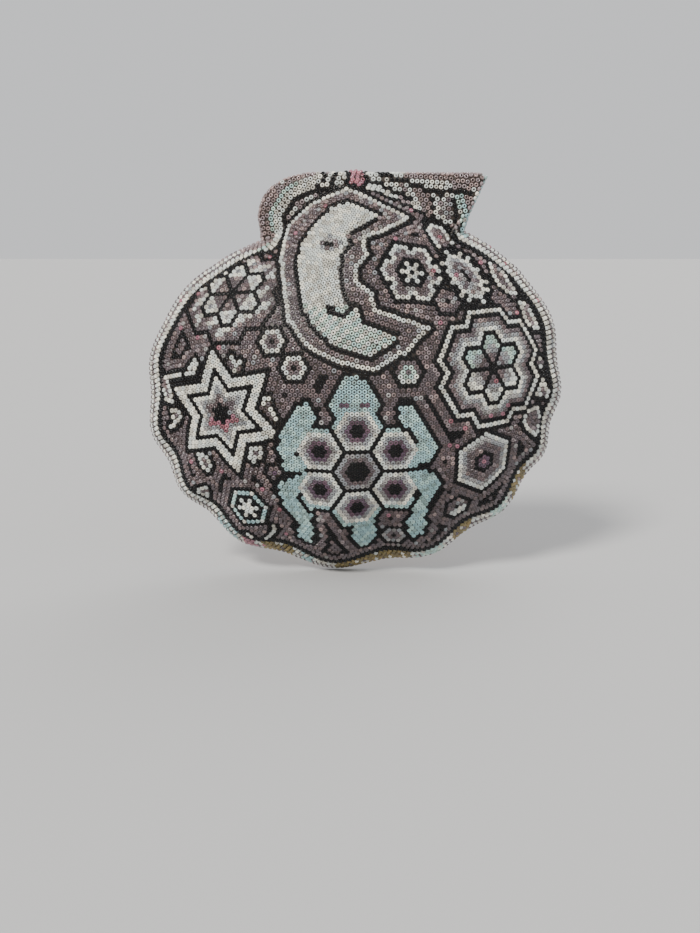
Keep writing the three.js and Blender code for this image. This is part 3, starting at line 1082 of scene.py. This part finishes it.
def blend_colours(first, second, share):
    return [a + (b - a) * share for a, b in zip(first, second)]


SHELL_BANDS = (  # position from the umbo to the margin, share of the stain
    (0.1, 1.0), (0.3, 0.25), (0.5, 0.0), (0.78, 0.1), (0.86, 0.45), (0.9, 0.2), (0.97, 0.6), (1.0, 1.0),
)
CLOUD_SCALE, CLOUD_DETAIL = 30, 6
CLOUD_STAIN, GROOVE_STAIN = 0.16, -0.14
GROWTH_LINES, LINE_WAVER = 230.0, 5.0
LINE_SHADE = (0.93, 0.915, 0.895)


def shell_material(colours):
    """Lime in growth bands, paler in the middle and stained towards the margin and in the grooves."""
    finish = Finish("shell_lime", roughness=0.34, coat=0.35, coat_roughness=0.15)
    cloud, growth = finish.noise(CLOUD_SCALE, CLOUD_DETAIL), finish.attribute("growth")
    age = finish.math("MULTIPLY_ADD", cloud, CLOUD_STAIN, growth)
    stain = finish.math("MULTIPLY_ADD", finish.attribute("flute"), GROOVE_STAIN, age)
    bands = finish.ramp(stain, *((position, blend_colours(colours.shell, colours.shell_dark, share))
                                 for position, share in SHELL_BANDS))
    waver = finish.math("MULTIPLY", cloud, LINE_WAVER)
    lines = finish.math("SINE", finish.math("MULTIPLY_ADD", growth, GROWTH_LINES, waver))
    shade = finish.ramp(lines, (0, LINE_SHADE), (1, (1, 1, 1)))
    finish.colour(finish.mix("MULTIPLY", 1.0, bands, shade))
    finish.bump(lines, 0.1)
    return finish.material


WAX_SCALE, WAX_DETAIL = 260, 4
WAX_HOLLOW_SHADE = 0.55  # how dark the painted shade in the wax's hollows is
WAX_STOPS = (0.3, 0.75)
BARE_FROM, BARE_TO = -0.0009, -0.0002  # metres in front of the back plane


def wax_material(colours):
    """Lumpy beeswax, amber along its bare back edge. In front it is painted near black as painted shade
    between the beads, and darker still in its hollows as painted shade.
    """
    finish = Finish("beeswax", roughness=0.5)
    lumps = finish.noise(WAX_SCALE, WAX_DETAIL)
    # Painted shade: the wax is darkened in the hollows of its lumps.
    hollow_shade = [c * WAX_HOLLOW_SHADE for c in colours.wax]
    dark = finish.ramp(lumps, (WAX_STOPS[0], hollow_shade), (WAX_STOPS[1], colours.wax))
    axes = finish.node("ShaderNodeSeparateXYZ")
    finish.links.new(finish.place(), axes.inputs["Vector"])
    bare = finish.node("ShaderNodeMapRange", From_Min=BARE_FROM, From_Max=BARE_TO)
    finish.links.new(axes.outputs["Y"], bare.inputs["Value"])
    # Painted shade: the near-black wax where the beads cover it, blended to bare amber along the back edge.
    finish.colour(finish.mix("MIX", bare.outputs["Result"], dark, (*colours.wax_bare, 1)))
    finish.bump(lumps, 0.4)
    return finish.material


# ---------------------------------------------------------------- making the pieces
def finish_piece(bm, name, materials, nodes):
    """Turns a bmesh in millimetres into a finished piece in the scene."""
    bmesh.ops.transform(bm, matrix=to_metres(), verts=bm.verts)
    mesh = bpy.data.meshes.new(name)
    bm.to_mesh(mesh)
    bm.free()
    mesh.shade_smooth()
    for material in materials:
        mesh.materials.append(material)
    piece = bpy.data.objects.new(name, mesh)
    bpy.context.scene.collection.objects.link(piece)
    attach(piece, BODY)
    if nodes:
        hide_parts(*nodes)
    return piece


BEAD_TOP = 0.36  # the hole's upper edge; its lower edge is the bead's foot
BEAD_OUTSIDE = ((0.66, 0.5), (0.95, 0.22), (0.97, -0.24))
BEAD_SIDES = 11
BEAD_LIFT = 0.25  # how far the middle of a bead stands out of the wax
BEAD_SINK, BEAD_RISE = -0.05, 0.03
SHORTEST, NARROWEST = 0.9, 0.98


def bead_stamp(hole):
    """One bead standing on its hole's axis, 1 unit wide and 1 unit high, as a mesh."""
    bm = bmesh.new()
    outline = ((hole, BEAD_TOP), *BEAD_OUTSIDE, (hole, -0.5))
    verts = [bm.verts.new((r / 2, 0, z)) for r, z in outline]
    edges = [bm.edges.new((verts[k - 1], verts[k])) for k in range(len(verts))]
    bmesh.ops.spin(bm, geom=verts + edges, cent=(0, 0, 0), axis=(0, 0, 1), dvec=(0, 0, 0),
                   angle=2 * math.pi, steps=BEAD_SIDES, use_merge=True)
    bmesh.ops.recalc_face_normals(bm, faces=bm.faces)
    mesh = bpy.data.meshes.new("bead")
    bm.to_mesh(mesh)
    bm.free()
    return mesh


def string_up(name, slot, nodes=None):
    """Builds one piece from the beads that belong to it."""
    bed = lay_beads()
    props = bpy.context.scene.beaded_shell_beads
    members = [k for k, piece in enumerate(bed.pieces) if piece == name]
    if not members:
        raise RuntimeError(f"no beads were laid for {name}")
    rng = random.Random(sum(map(ord, name)))
    keys = []
    bm = bmesh.new()
    stamp = bead_stamp(props.hole)
    for k in members:
        key = (bed.colours[k], min(props.tones - 1, int(rng.random() * props.tones)))
        if key not in keys:
            keys.append(key)
        normal, width = bed.normals[k], bed.widths[k]
        lean = Vector((rng.gauss(0, 1), rng.gauss(0, 1), rng.gauss(0, 1))) * props.lean / 2
        axis = (normal + lean - normal * lean.dot(normal)).normalized()
        spin = Matrix.Rotation(rng.random() * math.pi, 4, "Z")
        turn = axis.to_track_quat("Z", "Y").to_matrix().to_4x4()
        tall = props.height / MM * rng.uniform(SHORTEST, 1.0)
        size = Matrix.Diagonal((width * rng.uniform(NARROWEST, 1.0), width, tall, 1))
        lift = BEAD_LIFT + rng.uniform(BEAD_SINK, BEAD_RISE)
        place = Matrix.Translation(bed.spots[k] + normal * lift)
        bead = stamp.copy()
        bead.transform(place @ turn @ spin @ size)
        bead.polygons.foreach_set("material_index", [keys.index(key)] * len(bead.polygons))
        bm.from_mesh(bead)
        bpy.data.meshes.remove(bead)
    bpy.data.meshes.remove(stamp)
    nodes = [name] if nodes is None else nodes
    return finish_piece(bm, name, [glass(*key) for key in keys], nodes)


SHELL_FACE = (2.95, 240, 40)  # how far under the bead tops, sectors, rings
SHELL_INSIDE = (6.6, 240, 56)
WAX_FACE = (WAX_UNDER, 240, 60)
WAX_BACK = (2.85, 240, 40)
MARGIN_INSET = 5.5
UMBO_GROWTH, UMBO_REACH = 0.6, 150
MARGIN_POWER = 2.2
FLUTE_DEPTH = 1.6
SCAR = ((14, -62), (17, 14), 0.5, 16)  # middle, half sizes, depth, sharpness of the edge
HINGE_PIT = ((1, -14), (5, 4), 1.2, 6)


def wall(face, back, **shape):
    """A closed wall between two skins of the shell, joined round the rim."""
    bm = bmesh.new()
    outer = lay_skin(bm, *face)
    outer_faces = set(bm.faces)
    inner = lay_skin(bm, *back, **shape)
    bmesh.ops.reverse_faces(bm, faces=[f for f in bm.faces if f not in outer_faces])
    bmesh.ops.bridge_loops(bm, edges=outer + inner)
    bmesh.ops.recalc_face_normals(bm, faces=bm.faces)
    return bm


def hollow(x, z, middle, sizes, depth, sharpness):
    """An oval hollow with a soft edge."""
    out = math.hypot((x - middle[0]) / sizes[0], (z - middle[1]) / sizes[1])
    return depth / (1 + math.exp((out - 1) * sharpness))


def inner_relief(x, z):
    """How far the inside of the shell stands in from its smooth form."""
    return FLUTE_DEPTH * fold(x, z) + hollow(x, z, *SCAR) + hollow(x, z, *HINGE_PIT)


def build_shell():
    bm = wall(SHELL_FACE, SHELL_INSIDE, ears=False, relief=inner_relief)
    growth, flute = bm.verts.layers.float.new("growth"), bm.verts.layers.float.new("flute")
    for vert in bm.verts:
        x, z = vert.co.x, vert.co.z
        angle = math.degrees(math.atan2(z - DISC_CENTRE_Z, x))
        margin = math.hypot(x, z - DISC_CENTRE_Z) / (rim_radius(angle) - MARGIN_INSET)
        vert[growth] = max(UMBO_GROWTH * math.hypot(x, z) / UMBO_REACH, margin ** MARGIN_POWER)
        vert[flute] = fold(x, z)
    lime = shell_material(bpy.context.scene.beaded_shell_base)
    return finish_piece(bm, "shell_valve", [lime], ["shell_valve"])


def build_wax():
    wax = wax_material(bpy.context.scene.beaded_shell_base)
    return finish_piece(wall(WAX_FACE, WAX_BACK), "wax_coat", [wax], ["wax_coat"])


class BEADED_SHELL_OT_shell(bpy.types.Operator):
    """Build the shell valve"""
    bl_idname = "beaded_shell.shell"
    bl_label = "Shell Valve"

    def execute(self, context):
        build_shell()
        return {"FINISHED"}


class BEADED_SHELL_OT_wax(bpy.types.Operator):
    """Coat the shell with wax"""
    bl_idname = "beaded_shell.wax"
    bl_label = "Wax Coat"

    def execute(self, context):
        build_wax()
        return {"FINISHED"}


# Each piece of beads, and the name of a material slot
EDGE_PIECES = (
    ("border_beads", "white_beads"), ("ear_right_beads", "mauve_beads"),
    ("ear_left_beads", "mauve_beads"), ("umbo_beads", "pearl_beads"), ("ear_bud_beads", "mauve_beads"),
)
MOON_PIECES = (("moon_face_beads", "white_beads"), ("moon_halo_beads", "mauve_beads"))
FLOWER_PIECES = (
    ("sun_flower_beads", "pearl_beads"), ("sun_bud_beads", "mauve_beads"),
    ("zigzag_flower_beads", "white_beads"), ("half_flower_beads", "mint_beads"),
    ("ring_flower_beads", "pearl_beads"), ("rosette_beads", "mauve_beads"),
    ("petal_flower_beads", "white_beads"), ("twin_flower_upper_beads", "white_beads"),
    ("twin_flower_lower_beads", "white_beads"), ("low_flower_beads", "white_beads"),
)
TURTLE_PIECES = tuple((piece, "turquoise_beads") for _, piece in LIMBS) + tuple(
    (f"turtle_cell_{cell}_beads", "pearl_beads") for cell in range(1, len(CELL_STEPS) + 1))
STAR_PIECES = (("star_beads", "white_beads"),)
FIELD_PIECES = (("field_beads", "black_beads"), ("field_upper_beads", "black_beads", ()),
                ("field_right_beads", "black_beads", ()))  # the last two stand for no node


class BEADED_SHELL_OT_edges(bpy.types.Operator):
    """Lay the beads of the border, the two ears and the umbo"""
    bl_idname = "beaded_shell.edges"
    bl_label = "Border and Ears"

    def execute(self, context):
        for piece in EDGE_PIECES:
            string_up(*piece)
        return {"FINISHED"}


class BEADED_SHELL_OT_moon(bpy.types.Operator):
    """Lay the beads of the moon and its halo"""
    bl_idname = "beaded_shell.moon"
    bl_label = "Moon"

    def execute(self, context):
        for piece in MOON_PIECES:
            string_up(*piece)
        return {"FINISHED"}


class BEADED_SHELL_OT_flowers(bpy.types.Operator):
    """Lay the beads of the flowers"""
    bl_idname = "beaded_shell.flowers"
    bl_label = "Flowers"

    def execute(self, context):
        for piece in FLOWER_PIECES:
            string_up(*piece)
        return {"FINISHED"}


class BEADED_SHELL_OT_turtle(bpy.types.Operator):
    """Lay the beads of the turtle"""
    bl_idname = "beaded_shell.turtle"
    bl_label = "Turtle"

    def execute(self, context):
        for piece in TURTLE_PIECES:
            string_up(*piece)
        return {"FINISHED"}


class BEADED_SHELL_OT_star(bpy.types.Operator):
    """Lay the beads of the star"""
    bl_idname = "beaded_shell.star"
    bl_label = "Star"

    def execute(self, context):
        for piece in STAR_PIECES:
            string_up(*piece)
        return {"FINISHED"}


class BEADED_SHELL_OT_field(bpy.types.Operator):
    """Lay the beads between the motifs"""
    bl_idname = "beaded_shell.field"
    bl_label = "Field"

    def execute(self, context):
        for piece in FIELD_PIECES:
            string_up(*piece)
        return {"FINISHED"}


class BEADED_SHELL_OT_stage(bpy.types.Operator):
    """Set the floor, the lights and the camera"""
    bl_idname = "beaded_shell.stage"
    bl_label = "Stage"

    def execute(self, context):
        set_stage(context.scene)
        return {"FINISHED"}


class BEADED_SHELL_PT_panel(bpy.types.Panel):
    """Sizes, colours and build steps of the beaded shell"""
    bl_idname = "BEADED_SHELL_PT_panel"
    bl_label = "Beaded Shell"
    bl_space_type = "VIEW_3D"
    bl_region_type = "UI"
    bl_category = "Beaded Shell"

    def draw(self, context):
        for group in (context.scene.beaded_shell_beads, context.scene.beaded_shell_colours,
                      context.scene.beaded_shell_base):
            box = self.layout.box()
            for name in group.__annotations__:
                box.prop(group, name)
        for operator in OPERATORS:
            self.layout.operator(operator.bl_idname)


FLOOR_HALF = 6
FLOOR_COLOUR = (0.47, 0.468, 0.465, 1)
SKY_COLOUR, SKY_STRENGTH = (0.95, 0.96, 0.98, 1), 0.82
LAMPS = (  # where it shines from, how wide it looks in degrees, strength, colour
    ("key", (-0.45, -0.75, 0.8), 14, 3.9, (1.0, 0.97, 0.92)),
    ("fill", (0.8, -0.6, 0.35), 60, 0.6, (0.92, 0.96, 1.0)),
    ("back", (0.35, 0.8, 0.6), 45, 1.0, (1.0, 1.0, 1.0)),
)
CAMERA_AIM = (0, 0, DISC_CENTRE_Z)
CAMERA_DISTANCE = 540
CAMERA_ELEVATION = math.radians(6)
CAMERA_TURN = (5 / 1296, 98.5 / 1296)  # how far the aim lies right of and above the middle, as tangents
CAMERA_LENS, CAMERA_SENSOR = 50, 36


def set_stage(scene):
    """A plain pale floor, soft lamps and the camera."""
    floor_bm = bmesh.new()
    bmesh.ops.create_grid(floor_bm, x_segments=1, y_segments=1, size=FLOOR_HALF,
                          matrix=Matrix.Translation((0, 0, CAD_LOW.z)))
    mesh = bpy.data.meshes.new("floor")
    floor_bm.to_mesh(mesh)
    floor_bm.free()
    paper = Finish("floor_paper", roughness=0.9)
    paper.shader.inputs["Base Color"].default_value = FLOOR_COLOUR
    mesh.materials.append(paper.material)
    floor = bpy.data.objects.new("floor", mesh)
    scene.collection.objects.link(floor)

    world = bpy.data.worlds.new("studio")
    world.use_nodes = True
    sky = world.node_tree.nodes["Background"]
    sky.inputs["Color"].default_value = SKY_COLOUR
    sky.inputs["Strength"].default_value = SKY_STRENGTH
    scene.world = world
    centre = (CAD_LOW + CAD_HIGH) / 2
    for name, place, spread, power, colour in LAMPS:
        lamp = bpy.data.lights.new(name, "SUN")
        lamp.energy, lamp.color, lamp.angle = power, colour, math.radians(spread)
        light = bpy.data.objects.new(name, lamp)
        light.location = centre + Vector(place)
        light.rotation_mode = "QUATERNION"
        light.rotation_quaternion = Vector(place).to_track_quat("Z", "Y")
        scene.collection.objects.link(light)

    aim = to_metres() @ Vector(CAMERA_AIM)
    forward = Vector((0, math.cos(CAMERA_ELEVATION), -math.sin(CAMERA_ELEVATION)))
    right = forward.cross(Vector((0, 0, 1))).normalized()
    up = right.cross(forward)
    look = (forward - right * CAMERA_TURN[0] - up * CAMERA_TURN[1]).normalized()
    lens = bpy.data.cameras.new("camera")
    lens.lens, lens.sensor_width = CAMERA_LENS, CAMERA_SENSOR
    camera = bpy.data.objects.new("camera", lens)
    camera.location = aim - forward * CAMERA_DISTANCE * MM
    camera.rotation_mode = "QUATERNION"
    camera.rotation_quaternion = look.to_track_quat("-Z", "Y")
    scene.collection.objects.link(camera)
    scene.camera = camera


OPERATORS = (
    BEADED_SHELL_OT_shell, BEADED_SHELL_OT_wax, BEADED_SHELL_OT_edges, BEADED_SHELL_OT_moon,
    BEADED_SHELL_OT_flowers, BEADED_SHELL_OT_turtle, BEADED_SHELL_OT_star, BEADED_SHELL_OT_field,
    BEADED_SHELL_OT_stage,
)
CLASSES = (BeadedShellBeads, BeadedShellColours, BeadedShellBase) + OPERATORS + (BEADED_SHELL_PT_panel,)
GROUPS = {
    "beaded_shell_beads": BeadedShellBeads,
    "beaded_shell_colours": BeadedShellColours,
    "beaded_shell_base": BeadedShellBase,
}


def register():
    for cls in CLASSES:
        bpy.utils.register_class(cls)
    for name, group in GROUPS.items():
        setattr(bpy.types.Scene, name, PointerProperty(type=group))


def unregister():
    for name in GROUPS:
        delattr(bpy.types.Scene, name)
    for cls in reversed(CLASSES):
        bpy.utils.unregister_class(cls)


def main():
    register()
    bpy.ops.beaded_shell.shell()
    bpy.ops.beaded_shell.wax()
    bpy.ops.beaded_shell.edges()
    bpy.ops.beaded_shell.moon()
    bpy.ops.beaded_shell.flowers()
    bpy.ops.beaded_shell.turtle()
    bpy.ops.beaded_shell.star()
    bpy.ops.beaded_shell.field()
    bpy.ops.beaded_shell.stage()


if __name__ == "__main__":
    main()
